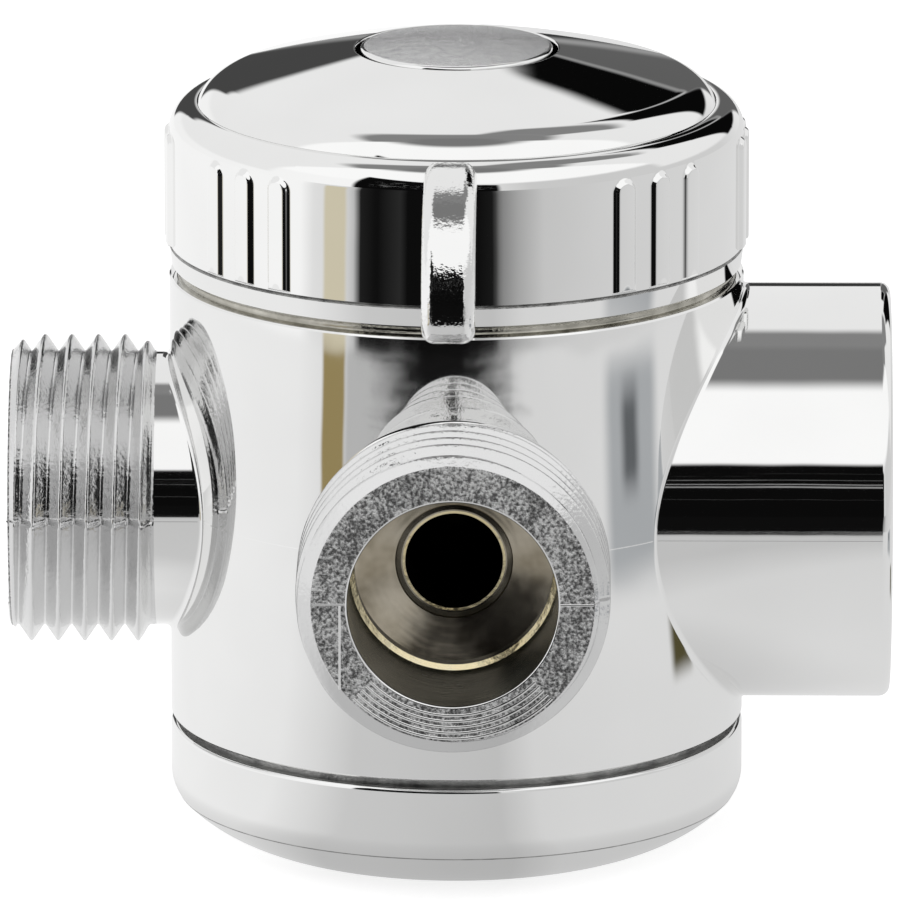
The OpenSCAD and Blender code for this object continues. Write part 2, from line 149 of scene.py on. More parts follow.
class Axes:
    """A turned coordinate frame: side, up and axis directions round an origin."""

    def __init__(self, side, up, axis, origin=(0, 0, 0)):
        self.turn = np.array([side, up, axis], float)
        self.origin = np.array(origin, float)

    def place(self, points):
        return np.asarray(points, float) @ self.turn + self.origin

    def aim(self, normals):
        return np.asarray(normals, float) @ self.turn


UPRIGHT = Axes((1, 0, 0), (0, 1, 0), (0, 0, 1))
FRONT = Axes((1, 0, 0), (0, 0, 1), (0, -1, 0), (0, 0, PORT_Z))
LEFT = Axes((0, -1, 0), (0, 0, 1), (-1, 0, 0), (0, 0, PORT_Z))
RIGHT = Axes((0, 1, 0), (0, 0, 1), (1, 0, 0), (0, 0, PORT_Z))
KNOB = Axes((math.cos(POINTER_TURN), math.sin(POINTER_TURN), 0),
            (-math.sin(POINTER_TURN), math.cos(POINTER_TURN), 0), (0, 0, 1))


def grid_faces(rows, columns):
    return [(i * columns + j, i * columns + j + 1, (i + 1) * columns + j + 1, (i + 1) * columns + j)
            for i in range(rows - 1) for j in range(columns - 1)]


def grid(shell, axes, points, outward, slot=0):
    """Adds a grid of points [row][column][xyz] whose columns go round, with the first one repeated."""
    points = np.asarray(points, float)
    along = np.gradient(points, axis=0)
    around = np.gradient(points, axis=1)
    around[:, 0] = around[:, -1] = points[:, 1] - points[:, -2]
    normals = np.cross(around, along)
    length = np.linalg.norm(normals, axis=2, keepdims=True)
    normals = normals / np.maximum(length, 1e-12) * outward
    rows, columns = points.shape[:2]
    shell.patch(axes.place(points.reshape(-1, 3)), axes.aim(normals.reshape(-1, 3)),
                grid_faces(rows, columns), slot)


def turned(count=AROUND):
    return np.linspace(0, 2 * math.pi, count + 1)


def revolve(shell, axes, profile, slot=0, flip=False, around=AROUND):
    """Turns a smooth profile of (radius, height) points round the axis. It faces right of its direction."""
    profile = np.asarray(profile, float)
    tangent = np.gradient(profile, axis=0)
    tangent /= np.linalg.norm(tangent, axis=1, keepdims=True)
    sign = -1 if flip else 1
    angle = turned(around)
    cos, sin = np.cos(angle), np.sin(angle)
    points = np.stack([np.outer(profile[:, 0], cos), np.outer(profile[:, 0], sin),
                       np.outer(profile[:, 1], np.ones_like(angle))], -1)
    normals = np.stack([np.outer(tangent[:, 1], cos), np.outer(tangent[:, 1], sin),
                        np.outer(-tangent[:, 0], np.ones_like(angle))], -1) * sign
    rows, columns = points.shape[:2]
    shell.patch(axes.place(points.reshape(-1, 3)), axes.aim(normals.reshape(-1, 3)),
                grid_faces(rows, columns), slot)


def revolve_all(shell, axes, chains, slot=0, flip=False, around=AROUND):
    for chain in chains:
        revolve(shell, axes, chain, slot, flip, around)


def arc(r, z, radius, start, end, steps=8):
    """Points of an arc about (r, z), angles in degrees."""
    return [(r + radius * math.cos(math.radians(a)), z + radius * math.sin(math.radians(a)))
            for a in np.linspace(start, end, steps + 1)]


def straight(corners):
    """Flat faces between corners, each its own chain."""
    return [[a, b] for a, b in zip(corners[:-1], corners[1:])]


def smooth(x, lo, hi):
    t = np.clip((np.asarray(x, float) - lo) / (hi - lo), 0, 1)
    return t * t * (3 - 2 * t)


# ---------------------------------------------------------------- materials
class Nodes:
    """A small hand for node trees."""

    def __init__(self, tree):
        self.tree = tree
        tree.nodes.clear()

    def add(self, kind, **values):
        node = self.tree.nodes.new("ShaderNode" + kind)
        for name, value in values.items():
            setattr(node, name, value)
        return node

    def join(self, source, target):
        self.tree.links.new(source, target)

    def feed(self, target, value):
        """Links a socket, or sets a constant."""
        if isinstance(value, bpy.types.NodeSocket):
            self.join(value, target)
        else:
            target.default_value = value

    def math(self, operation, a, b=0.0, c=0.0, clamp=False):
        node = self.add("Math", operation=operation, use_clamp=clamp)
        for socket, value in zip(node.inputs, (a, b, c)):
            self.feed(socket, value)
        return node.outputs[0]

    def ramp(self, value, stops):
        """A colour ramp over value, from (position, grey or colour) stops."""
        node = self.add("ValToRGB")
        ramp = node.color_ramp
        while len(ramp.elements) < len(stops):
            ramp.elements.new(1.0)
        for element, (position, colour) in zip(ramp.elements, stops):
            element.position = position
            element.color = (*colour, 1) if isinstance(colour, tuple) else (colour, colour, colour, 1)
        self.feed(node.inputs[0], value)
        return node.outputs[0]

    def mix(self, share, a, b):
        node = self.add("Mix", data_type="RGBA")
        self.feed(node.inputs[0], share)
        for socket, value in ((node.inputs[6], a), (node.inputs[7], b)):
            if isinstance(value, tuple):
                value = (*value, 1)
            elif not isinstance(value, bpy.types.NodeSocket):
                value = (value, value, value, 1)
            self.feed(socket, value)
        return node.outputs[2]

    def span(self, value, lo, hi, to_lo=0.0, to_hi=1.0, smooth_step=False):
        node = self.add("MapRange", interpolation_type="SMOOTHSTEP" if smooth_step else "LINEAR")
        self.feed(node.inputs[0], value)
        for socket, number in zip(node.inputs[1:5], (lo, hi, to_lo, to_hi)):
            socket.default_value = number
        return node.outputs[0]

    def noise(self, vector, scale, detail=3.0, roughness=0.55):
        node = self.add("TexNoise")
        self.join(vector, node.inputs["Vector"])
        node.inputs["Scale"].default_value = scale
        node.inputs["Detail"].default_value = detail
        node.inputs["Roughness"].default_value = roughness
        return node.outputs["Fac"]

    def stretch(self, vector, scale):
        node = self.add("Mapping")
        self.join(vector, node.inputs["Vector"])
        node.inputs["Scale"].default_value = scale
        return node.outputs["Vector"]

    def bump(self, height, distance, strength=1.0, normal=None):
        node = self.add("Bump")
        node.inputs["Strength"].default_value = strength
        node.inputs["Distance"].default_value = distance
        self.join(height, node.inputs["Height"])
        if normal is not None:
            self.join(normal, node.inputs["Normal"])
        return node.outputs["Normal"]


def material(name, make):
    """A material whose Principled shader is fed by make(nodes, place, shader)."""
    made = bpy.data.materials.new(name)
    made.use_nodes = True
    nodes = Nodes(made.node_tree)
    out = nodes.add("OutputMaterial")
    shader = nodes.add("BsdfPrincipled")
    nodes.join(shader.outputs[0], out.inputs["Surface"])
    place = nodes.add("TexCoord").outputs["Object"]
    make(nodes, place, shader)
    return made


def chrome(grain=0.0, roughness=(0.02, 0.06), tint=(0.91, 0.91, 0.905), wave=0.06):
    """Bright plating: a trace of unevenness, fine scratches, and cast grain under it where it has some."""

    def make(nodes, place, shader):
        wide = nodes.noise(place, 90, 2)
        shader.inputs["Metallic"].default_value = 1.0
        dull = tuple(c * 0.96 for c in tint)
        nodes.join(nodes.mix(nodes.span(wide, 0.35, 0.75), tint, dull), shader.inputs["Base Color"])
        scratches = nodes.noise(nodes.stretch(place, (2500, 2500, 150)), 1, 2)
        rough = nodes.span(nodes.math("MULTIPLY_ADD", scratches, 0.4, wide), 0.4, 1.0, *roughness)
        nodes.join(rough, shader.inputs["Roughness"])
        normal = nodes.bump(wide, 0.0006, wave)
        if grain:
            normal = nodes.bump(nodes.noise(place, 3200, 2), 0.00012, grain, normal)
        nodes.join(normal, shader.inputs["Normal"])

    return make


def cast_face(nodes, place, shader):
    """Plated but unpolished casting: sparkling grain."""
    grain = nodes.noise(place, 4800, 2, 0.6)
    patches = nodes.noise(place, 500, 3)
    shader.inputs["Metallic"].default_value = 1.0
    nodes.join(nodes.ramp(nodes.math("MULTIPLY_ADD", patches, 0.3, nodes.math("MULTIPLY", grain, 0.7)),
                          [(0.4, 0.1), (0.5, 0.34), (0.6, 0.74)]), shader.inputs["Base Color"])
    nodes.join(nodes.span(grain, 0.3, 0.7, 0.2, 0.4), shader.inputs["Roughness"])
    nodes.join(nodes.bump(grain, 0.0003, 1.0, nodes.bump(patches, 0.0005, 0.5)), shader.inputs["Normal"])


def bored(low, high, metallic=1.0, shine=0.5):
    """Machined inside of a nipple: thinly plated, warm, with fine turning marks. With near-black colours and
    no metal, it is painted shade on a bore's wall.
    """

    def make(nodes, place, shader):
        tarnish = nodes.noise(place, 260, 3)
        marks = nodes.noise(nodes.stretch(place, (300, 5200, 300)), 1, 1)
        shader.inputs["Metallic"].default_value = metallic
        shader.inputs["Specular IOR Level"].default_value = shine
        nodes.join(nodes.ramp(tarnish, [(0.35, low), (0.65, high)]), shader.inputs["Base Color"])
        nodes.join(nodes.span(tarnish, 0.3, 0.7, 0.12, 0.28), shader.inputs["Roughness"])
        nodes.join(nodes.bump(marks, 0.00005, 0.35), shader.inputs["Normal"])

    return make


def metal(low, high, roughness, scale=300.0, grain=0.3):
    """Plain metal between two colours."""

    def make(nodes, place, shader):
        patches = nodes.noise(place, scale, 4)
        shader.inputs["Metallic"].default_value = 1.0
        nodes.join(nodes.ramp(patches, [(0.3, low), (0.7, high)]), shader.inputs["Base Color"])
        nodes.join(nodes.span(patches, 0.3, 0.7, *roughness), shader.inputs["Roughness"])
        nodes.join(nodes.bump(nodes.noise(place, scale * 6, 2), 0.0001, grain), shader.inputs["Normal"])

    return make


def solid(low, high, roughness, scale=400.0, grain=0.3):
    """Moulded plastic, rubber or ceramic between two colours."""

    def make(nodes, place, shader):
        patches = nodes.noise(place, scale, 4)
        nodes.join(nodes.ramp(patches, [(0.3, low), (0.7, high)]), shader.inputs["Base Color"])
        nodes.join(nodes.span(patches, 0.3, 0.7, *roughness), shader.inputs["Roughness"])
        nodes.join(nodes.bump(nodes.noise(place, scale * 6, 2), 0.0001, grain), shader.inputs["Normal"])

    return make


CHROME = material("chrome_polished", chrome())
CHROME_KNOB = material("chrome_knob", chrome(roughness=(0.012, 0.035), wave=0.04))
CHROME_POINTER = material("chrome_pointer", chrome(grain=0.22, roughness=(0.01, 0.03), wave=0.02))
# Rougher grained plating on the threads. Its tint, darker than the body's, is painted shade.
CHROME_THREAD_PAINTED_SHADE = material("chrome_thread_painted_shade", chrome(grain=0.3, roughness=(0.08, 0.17),
                                                 tint=(0.74, 0.74, 0.74), wave=0.02))
CAST = material("chrome_cast_face", cast_face)
BORED = material("bored_brass", bored((0.3, 0.26, 0.19), (0.66, 0.6, 0.49)))
# The mouths' walls: near-black and not metal, painted shade inside the bore.
BORE_WALL_PAINTED_SHADE = material("bored_wall_painted_shade", bored((0.02, 0.022, 0.018), (0.07, 0.07, 0.058), 0.0, 0.12))
GOLD = material("brass_edge", metal((0.8, 0.66, 0.36), (0.95, 0.86, 0.6), (0.12, 0.3)))
# Near-black metal: painted shade deep in the outlet ducts and the socket's way.
DUCT_PAINTED_SHADE = material("duct_painted_shade", metal((0.03, 0.03, 0.025), (0.1, 0.1, 0.085), (0.3, 0.5)))
SATIN = material("satin_chrome", metal((0.82, 0.82, 0.83), (0.94, 0.94, 0.94), (0.16, 0.24), 1600, 0.6))
GROOVE = material("groove_metal", metal((0.2, 0.2, 0.2), (0.55, 0.55, 0.54), (0.3, 0.5), 700, 0.6))
GLIDE = material("steel_polished", metal((0.3, 0.29, 0.25), (0.6, 0.58, 0.52), (0.1, 0.22), 500, 0.2))

# The inner pieces keep the CAD's own meshes
RUBBER = solid((0.015, 0.015, 0.015), (0.04, 0.04, 0.04), (0.5, 0.7))
CERAMIC = solid((0.84, 0.83, 0.8), (0.9, 0.9, 0.88), (0.08, 0.2))
FINISH = {
    "stop_ring": ("grey_plastic", solid((0.1, 0.1, 0.11), (0.16, 0.16, 0.17), (0.4, 0.6))),
    "base_cap_oring": ("rubber_seal", RUBBER),
    "inlet_washer": ("rubber_washer", solid((0.02, 0.02, 0.02), (0.06, 0.06, 0.06), (0.5, 0.75))),
    "port_seal": ("rubber_port_seal", RUBBER),
    "cartridge_oring": ("rubber_cartridge", RUBBER),
    "stem_orings": ("rubber_stem", RUBBER),
    "cartridge_base": ("plastic_base", solid((0.55, 0.57, 0.6), (0.65, 0.67, 0.7), (0.35, 0.5))),
    "cartridge_housing": ("plastic_housing", solid((0.5, 0.52, 0.56), (0.62, 0.64, 0.68), (0.35, 0.5))),
    "disc_carrier": ("plastic_carrier", solid((0.75, 0.75, 0.72), (0.85, 0.85, 0.82), (0.35, 0.5))),
    "thrust_washer": ("plastic_washer", solid((0.8, 0.78, 0.7), (0.88, 0.86, 0.8), (0.3, 0.45))),
    "fixed_disc": ("ceramic_fixed", CERAMIC),
    "moving_disc": ("ceramic_moving", CERAMIC),
    "inlet_screen": ("steel_screen", metal((0.5, 0.5, 0.5), (0.75, 0.75, 0.74), (0.2, 0.4))),
    "stem": ("brass_stem", metal((0.7, 0.55, 0.25), (0.85, 0.7, 0.4), (0.15, 0.35))),
    "bonnet_nut": ("brass_nut", metal((0.65, 0.5, 0.24), (0.82, 0.68, 0.38), (0.2, 0.4))),
    "stem_clip": ("steel_clip", metal((0.55, 0.55, 0.56), (0.75, 0.75, 0.75), (0.2, 0.35))),
    "knob_screw": ("steel_screw", metal((0.6, 0.6, 0.6), (0.8, 0.8, 0.8), (0.15, 0.3))),
    "screw_washer": ("steel_washer", metal((0.5, 0.5, 0.5), (0.7, 0.7, 0.7), (0.25, 0.4))),
}
for node, (name, make) in FINISH.items():
    made = material(name, make)
    slots = frame["nodes"][node].data.materials
    for k in range(len(slots)):
        slots[k] = made


# ---------------------------------------------------------------- body
class Port:
    """One of the body's ports: its axes, its outside radius and the small fillet where it leaves the body."""

    def __init__(self, axes, radius, fillet):
        self.axes = axes
        self.radius = radius
        self.fillet = fillet
        self.angle = turned()
        ball = radius + fillet
        self.side = ball * np.cos(self.angle)
        self.rise = ball * np.sin(self.angle)
        self.out = np.sqrt((BODY_R + fillet) ** 2 - self.side ** 2)

    def on_body(self):
        """Where the fillet meets the body, in the port's frame."""
        k = BODY_R / (BODY_R + self.fillet)
        return np.stack([self.side * k, self.rise, self.out * k], -1)

    def on_port(self):
        """Where the fillet meets the port's own wall, in the port's frame."""
        k = self.radius / (self.radius + self.fillet)
        return np.stack([self.side * k, self.rise * k, self.out], -1)

    def add_fillet(self, shell, steps=5):
        centre = np.stack([self.side, self.rise, self.out], -1)
        a = (self.on_body() - centre) / self.fillet
        b = (self.on_port() - centre) / self.fillet
        bend = np.arccos(np.clip((a * b).sum(-1), -1, 1))[:, None]
        rows = []
        for t in np.linspace(0, 1, steps + 1):
            rows.append((a * np.sin((1 - t) * bend) + b * np.sin(t * bend)) / np.sin(bend))
        ways = np.array(rows)
        points = centre[None] + ways * self.fillet
        shell.patch(self.axes.place(points.reshape(-1, 3)), self.axes.aim(-ways.reshape(-1, 3)),
                    grid_faces(steps + 1, len(self.angle)))

    def add_neck(self, shell, end, steps=3):
        """The port's plain wall, from the fillet out to a ring."""
        start = self.on_port()
        finish = start.copy()
        finish[:, 2] = end
        points = np.array([start + (finish - start) * t for t in np.linspace(0, 1, steps + 1)])
        normals = points.copy()
        normals[..., 2] = 0
        normals /= np.linalg.norm(normals, axis=2, keepdims=True)
        shell.patch(self.axes.place(points.reshape(-1, 3)), self.axes.aim(normals.reshape(-1, 3)),
                    grid_faces(steps + 1, len(self.angle)))


def body_wall(shell, ports, z0, z1):
    """The upright wall with an opening for each port, laid out flat to be cut into triangles."""
    seam = math.radians(135)  # behind, between the left port and the back
    unroll = []
    for port in ports:
        place = port.axes.place(port.on_body())[:-1]
        angle = (np.arctan2(place[:, 1], place[:, 0]) - seam) % (2 * math.pi)
        unroll.append((angle, place[:, 2], place))
    columns, rows = AROUND, 26
    step = 2 * math.pi / columns
    flat, solid_points, edges = [], [], []

    def put(angle, z, place=None):
        flat.append(Vector((angle * BODY_R, z)))
        if place is None:
            turn = angle + seam
            place = (BODY_R * math.cos(turn), BODY_R * math.sin(turn), z)
        solid_points.append(place)
        return len(flat) - 1

    loops = []
    for angle, z, place in unroll:
        loop = [put(a, h, p) for a, h, p in zip(angle, z, place)]
        loops.append(loop)
        edges += [(loop[k - 1], loop[k]) for k in range(len(loop))]
    outlines = [np.array([flat[k] for k in loop]) for loop in loops]
    centres = [outline.mean(0) for outline in outlines]
    for i in range(rows + 1):
        for j in range(columns + 1):
            here = np.array([j * step * BODY_R, z0 + (z1 - z0) * i / rows])
            clear = True
            for outline, centre in zip(outlines, centres):
                near = np.hypot(*(outline - here).T)
                k = near.argmin()
                inside = np.hypot(*(here - centre)) < np.hypot(*(outline[k] - centre))
                if inside or near[k] < 0.45:
                    clear = False
            if clear:
                put(j * step, here[1])
    _, _, triangles, source, _, _ = geometry.delaunay_2d_cdt(flat, edges, [], 0, 1e-7)
    points = []
    for origin in source:
        points.append(solid_points[origin[0]])
    points = np.array(points)
    spread = np.array([flat[origin[0]] for origin in source])
    keep = []
    for triangle in triangles:
        middle = spread[list(triangle)].mean(0)
        inside = False
        for outline in outlines:
            after = np.roll(outline, -1, 0)
            straddle = (outline[:, 1] > middle[1]) != (after[:, 1] > middle[1])
            with np.errstate(divide="ignore", invalid="ignore"):
                cross = outline[:, 0] + (middle[1] - outline[:, 1]) * (after[:, 0] - outline[:, 0]) \
                    / (after[:, 1] - outline[:, 1])
            if (straddle & (middle[0] < cross)).sum() % 2:
                inside = True
        if not inside:
            keep.append(tuple(triangle))
    normals = points.copy()
    normals[:, 2] = 0
    normals /= BODY_R
    shell.patch(points, normals, keep)


def tooth(phase):
    """Height of the thread at a phase of its pitch, 0 at the root and 1 at the crest."""
    return np.clip((0.5 - np.abs(phase - 0.5)) * 2 * 1.12 - 0.04, 0, 1)


def thread(shell, axes, s0, s1, shape, slot, outward=1, around=AROUND, per_pitch=16):
    """A right-hand thread on the rings from s0 to s1; shape(s, height) gives the radius."""
    angle = turned(around)
    share = angle / (2 * math.pi)
    steps = np.arange(-per_pitch, int((s1 - s0) / PITCH * per_pitch) + 2 * per_pitch + 1)
    s = s0 + (steps[:, None] / per_pitch - share[None]) * PITCH
    phase = (steps / per_pitch % 1)[:, None] * np.ones_like(s)
    s = np.clip(s, s0, s1)
    radius = shape(s, tooth(phase))
    points = np.stack([radius * np.cos(angle), radius * np.sin(angle), s], -1)
    grid(shell, axes, points, outward, slot)


def outlet(shell, port, reach):
    """An outlet nipple: neck, thread, chamfered cast end, counterbore, machined step and duct."""
    root, end_r = THREAD_MINOR, THREAD_MINOR + 0.12
    start = reach - THREAD_LEN
    edge, lip, rim = 0.12, 0.35, 0.15
    port.add_fillet(shell)
    port.add_neck(shell, start)

    def shape(s, height):
        fade = smooth(s, start, start + 0.5 * PITCH)
        radius = root + (THREAD_MAJOR - root) * height * fade
        radius = np.minimum(radius, end_r + (reach - edge - s) * 1.15)
        return np.maximum(radius, np.where(s >= reach - edge - 1e-6, end_r, root))

    thread(shell, port.axes, start, reach - edge, shape, 1)
    floor = reach - MOUTH_DEPTH
    revolve(shell, port.axes, arc(end_r - edge, reach - edge, edge, 0, 90, 4), 2)
    revolve(shell, port.axes, [(end_r - edge, reach), (8.3, reach), (MOUTH_R + rim, reach)], 2)
    revolve(shell, port.axes, arc(MOUTH_R + rim, reach - rim, rim, 90, 180, 4), 0)
    revolve(shell, port.axes, [(MOUTH_R, reach - rim), (MOUTH_R, floor + 1.3)], 6)
    revolve_all(shell, port.axes, straight([(MOUTH_R, floor + 1.3), (MOUTH_R - lip, floor + 1.1)]), 4)
    revolve(shell, port.axes, [(MOUTH_R - lip, floor + 1.1), (MOUTH_R - lip, floor)], 6)
    step_r = DUCT_R + 0.2
    revolve(shell, port.axes, [(MOUTH_R - lip, floor), (5.4, floor - 0.4), (step_r + 0.5, floor - 0.8)], 3)
    revolve_all(shell, port.axes, straight([
        (step_r + 0.5, floor - 0.8), (step_r + 0.42, floor - 0.92), (step_r + 0.1, floor - 0.88),
        (step_r, floor - 0.9)]), 3)
    revolve_all(shell, port.axes, straight([
        (step_r, floor - 0.9), (DUCT_R + 0.03, floor - 0.91), (DUCT_R, floor - 0.94)]), 4)
    end = 4.6
    revolve(shell, port.axes, [(DUCT_R, floor - 0.94), (DUCT_R, end + DUCT_R)], 5)
    revolve(shell, port.axes, arc(0, end + DUCT_R, DUCT_R, 0, -90, 8), 5, flip=True)


def socket(shell, port):
    """The female inlet: smooth outside, rounded end, lead-in, thread, seat of the washer and duct."""
    edge, lead = SOCKET_EDGE, 1.2
    floor, relief, relief_r, way_r = 17.5, 19.5, THREAD_MAJOR - 0.3, 6.0
    port.add_fillet(shell)
    port.add_neck(shell, INLET_REACH - edge, steps=12)
    mouth = THREAD_MAJOR + 0.2
    revolve(shell, port.axes, arc(SOCKET_R - edge, INLET_REACH - edge, edge, 0, 90, 9))
    revolve(shell, port.axes, [(SOCKET_R - edge, INLET_REACH), (mouth + 0.1, INLET_REACH)])
    revolve(shell, port.axes, [(mouth + 0.1, INLET_REACH), (THREAD_MAJOR, INLET_REACH - 0.5)])
    depth = THREAD_MAJOR - THREAD_MINOR

    def shape(s, height):
        bore = THREAD_MAJOR - depth * height * smooth(s, relief, relief + 0.8)
        return np.maximum(np.where(s <= relief + 1e-6, relief_r, bore),
                          THREAD_MAJOR - (INLET_REACH - 0.5 - s) * (depth / lead))

    thread(shell, port.axes, relief, INLET_REACH - 0.5, shape, 1, outward=-1)
    revolve_all(shell, port.axes, straight([(relief_r, relief), (relief_r, floor), (way_r, floor)]), 1, True)
    revolve_all(shell, port.axes, straight([(way_r, floor), (way_r, 11.6), (0, 11.6)]), 5, True)


def ridge(shell, axes, path, outward, across, width, height):
    """A fine raised line along a path, such as a casting's flash."""
    path, outward = np.asarray(path, float), np.asarray(outward, float)
    across = np.asarray(across, float)
    profile = [(-width / 2, -0.01, -0.8), (0, height, 0), (width / 2, -0.01, 0.8)]
    points = np.array([path + across * x + outward * h for x, h, _ in profile])
    normals = np.array([outward + across * lean for _, _, lean in profile])
    shell.patch(axes.place(points.reshape(-1, 3)), axes.aim(normals.reshape(-1, 3)),
                grid_faces(3, len(path)))


def parting_lines(shell, ports):
    """The casting's parting line at port height, between the ports and along them."""
    steps, width, height = 40, 0.09, 0.018
    front, left, right = ports

    def reach_angle(port):
        return math.degrees(math.asin((port.radius + port.fillet) / (BODY_R + port.fillet)))

    for start, end in ((180 + reach_angle(left), 270 - reach_angle(front)),
                       (270 + reach_angle(front), 360 - reach_angle(right)),
                       (reach_angle(right), 180 - reach_angle(left))):
        turn = np.radians(np.linspace(start, end, steps))
        out = np.stack([np.cos(turn), np.sin(turn), np.zeros(steps)], -1)
        ridge(shell, UPRIGHT, out * BODY_R + (0, 0, PORT_Z), out, (0, 0, 1), width, height)
    for port, end in ((front, FRONT_REACH - THREAD_LEN), (left, LEFT_REACH - THREAD_LEN),
                      (right, INLET_REACH - SOCKET_EDGE)):
        first = math.sqrt((BODY_R + port.fillet) ** 2 - (port.radius + port.fillet) ** 2)
        for side in (-1, 1):
            path = [(side * port.radius, 0, s) for s in np.linspace(first, end, 12)]
            ridge(shell, port.axes, path, np.tile((side, 0, 0), (12, 1)), (0, 1, 0), width, height)


def end_marks(shell, port, reach):
    """Flash on an outlet's cast end: a step across it at the parting line and one upright line."""
    outer, inner, line_x, line_end = 9.35, 7.15, -7.5, -5.8
    up = (0, 0, 1)
    for x0, x1 in ((-outer, -inner), (inner, outer)):
        path = [(x, 0, reach) for x in np.linspace(x0, x1, 6)]
        ridge(shell, port.axes, path, np.tile(up, (6, 1)), (0, 1, 0), 0.16, 0.1)
    path = [(line_x, y, reach) for y in np.linspace(0, line_end, 10)]
    ridge(shell, port.axes, path, np.tile(up, (10, 1)), (1, 0, 0), 0.16, 0.1)
    for radius in np.linspace(7.6, 9.2, 5):
        turn = np.radians(np.linspace(-136, -44, 40))
        path = np.stack([radius * np.cos(turn), radius * np.sin(turn), np.full(40, reach)], -1)
        out = np.stack([np.cos(turn), np.sin(turn), np.zeros(40)], -1)
        ridge(shell, port.axes, path, np.tile(up, (40, 1)), out, 0.2, 0.09)


def valve_body():
    shell = Shell()
    front = Port(FRONT, THREAD_MINOR, 0.5)
    left = Port(LEFT, THREAD_MINOR, 0.5)
    right = Port(RIGHT, SOCKET_R, 0.45)
    bevel = 0.12
    body_wall(shell, [front, left, right], BODY_BOTTOM + bevel, BODY_TOP - bevel)
    outlet(shell, front, FRONT_REACH)
    outlet(shell, left, LEFT_REACH)
    socket(shell, right)
    parting_lines(shell, (front, left, right))
    end_marks(shell, front, FRONT_REACH)
    end_marks(shell, left, LEFT_REACH)
    collar_r, collar_top, nut_r, nut_z, pocket_r, deck = 15.5, 44.0, 13.5, 41.0, 12.5, 34.5
    seat_r, seat_top, bore_r, bore_top = 17.0, BODY_BOTTOM + 2.4, 16.4, 15.0
    revolve_all(shell, UPRIGHT, straight([
        (BODY_R, BODY_TOP - bevel), (BODY_R - bevel, BODY_TOP), (collar_r, BODY_TOP), (collar_r, collar_top),
        (nut_r, collar_top), (nut_r, nut_z), (pocket_r, nut_z), (pocket_r, deck), (0, deck)]))
    revolve_all(shell, UPRIGHT, straight([
        (BODY_R, BODY_BOTTOM + bevel), (BODY_R - bevel, BODY_BOTTOM), (seat_r, BODY_BOTTOM),
        (seat_r, seat_top), (bore_r, seat_top), (bore_r, bore_top), (0, bore_top)]), flip=True)
    return shell.build("valve_body_cast", "root",
                       [CHROME, CHROME_THREAD_PAINTED_SHADE, CAST, BORED, GOLD, DUCT_PAINTED_SHADE, BORE_WALL_PAINTED_SHADE], ["valve_body"])


# ---------------------------------------------------------------- base cap
def base_cap():
    shell = Shell()
    top = CAP_HI.z
    wall_top, groove_top, groove_r, seat_r, plug_r = 7.8, BODY_BOTTOM, 18.7, 16.95, 16.3
    bevel, edge_r, edge_z, edge_end, under_r, under_a0 = 0.3, 2.5, 4.2, -33, 10.3, -44
    wall = BODY_R
    edge = arc(wall - edge_r, edge_z, edge_r, 0, edge_end, 12)
    step = (edge[-1][0] - 0.05, edge[-1][1] - 0.09)
    centre = (step[0] - under_r * math.cos(math.radians(under_a0)),
              step[1] - under_r * math.sin(math.radians(under_a0)))
    under = arc(*centre, under_r, under_a0, -math.degrees(math.asin(centre[1] / under_r)), 16)
    inner_r, inner_z = 14.0, 5.5
    revolve_all(shell, UPRIGHT, straight([
        (0, inner_z), (inner_r, inner_z), (inner_r, top), (plug_r, top), (plug_r, groove_top + 0.7),
        (seat_r, groove_top + 0.7), (seat_r, groove_top), (groove_r, groove_top)]), 1, flip=True)
    revolve(shell, UPRIGHT, [(groove_r, groove_top), (groove_r, wall_top)], 1, flip=True)
    revolve(shell, UPRIGHT, [(groove_r, wall_top), (wall - bevel, wall_top)], 1, flip=True)
    revolve(shell, UPRIGHT, arc(wall - bevel, wall_top - bevel, bevel, 90, 0, 5), flip=True)
    revolve(shell, UPRIGHT, [(wall, wall_top - bevel), (wall, 6.0), (wall, edge_z)], flip=True)
    revolve(shell, UPRIGHT, edge, flip=True)
    revolve(shell, UPRIGHT, [edge[-1], step], 1, flip=True)
    revolve(shell, UPRIGHT, under, flip=True)
    hole_x, hole_r, hole_depth = 9.0, 1.6, 2.6
    foot(shell, under[-1][0], hole_x, hole_r, hole_depth)
    return shell.build("base_cap_plated", "root", [CHROME, GROOVE], ["base_cap"])


def foot(shell, radius, hole_x, hole_r, depth):
    """The flat underside, with two round spanner holes."""
    ring = [Vector((radius * math.cos(a), radius * math.sin(a))) for a in turned()[:-1]]
    flat, edges = list(ring), [(k - 1 if k else AROUND - 1, k) for k in range(AROUND)]
    around = 48
    for side in (-1, 1):
        first = len(flat)
        flat += [Vector((side * hole_x + hole_r * math.cos(a), hole_r * math.sin(a)))
                 for a in turned(around)[:-1]]
        edges += [(first + (k - 1) % around, first + k) for k in range(around)]
        hole = Axes((1, 0, 0), (0, 1, 0), (0, 0, 1), (side * hole_x, 0, 0))
        revolve_all(shell, hole, straight([(hole_r, 0), (hole_r, depth), (0, depth)]), 1, True, around)
    spots, _, triangles, _, _, _ = geometry.delaunay_2d_cdt(flat, edges, [], 0, 1e-7)
    points = np.array([(p.x, p.y, 0) for p in spots])
    keep = []
    for triangle in triangles:
        middle = points[list(triangle)].mean(0)
        if all(math.hypot(middle[0] - side * hole_x, middle[1]) > hole_r * 0.999 for side in (-1, 1)):
            keep.append(tuple(triangle))
    shell.patch(points, np.tile((0, 0, -1), (len(points), 1)), keep)


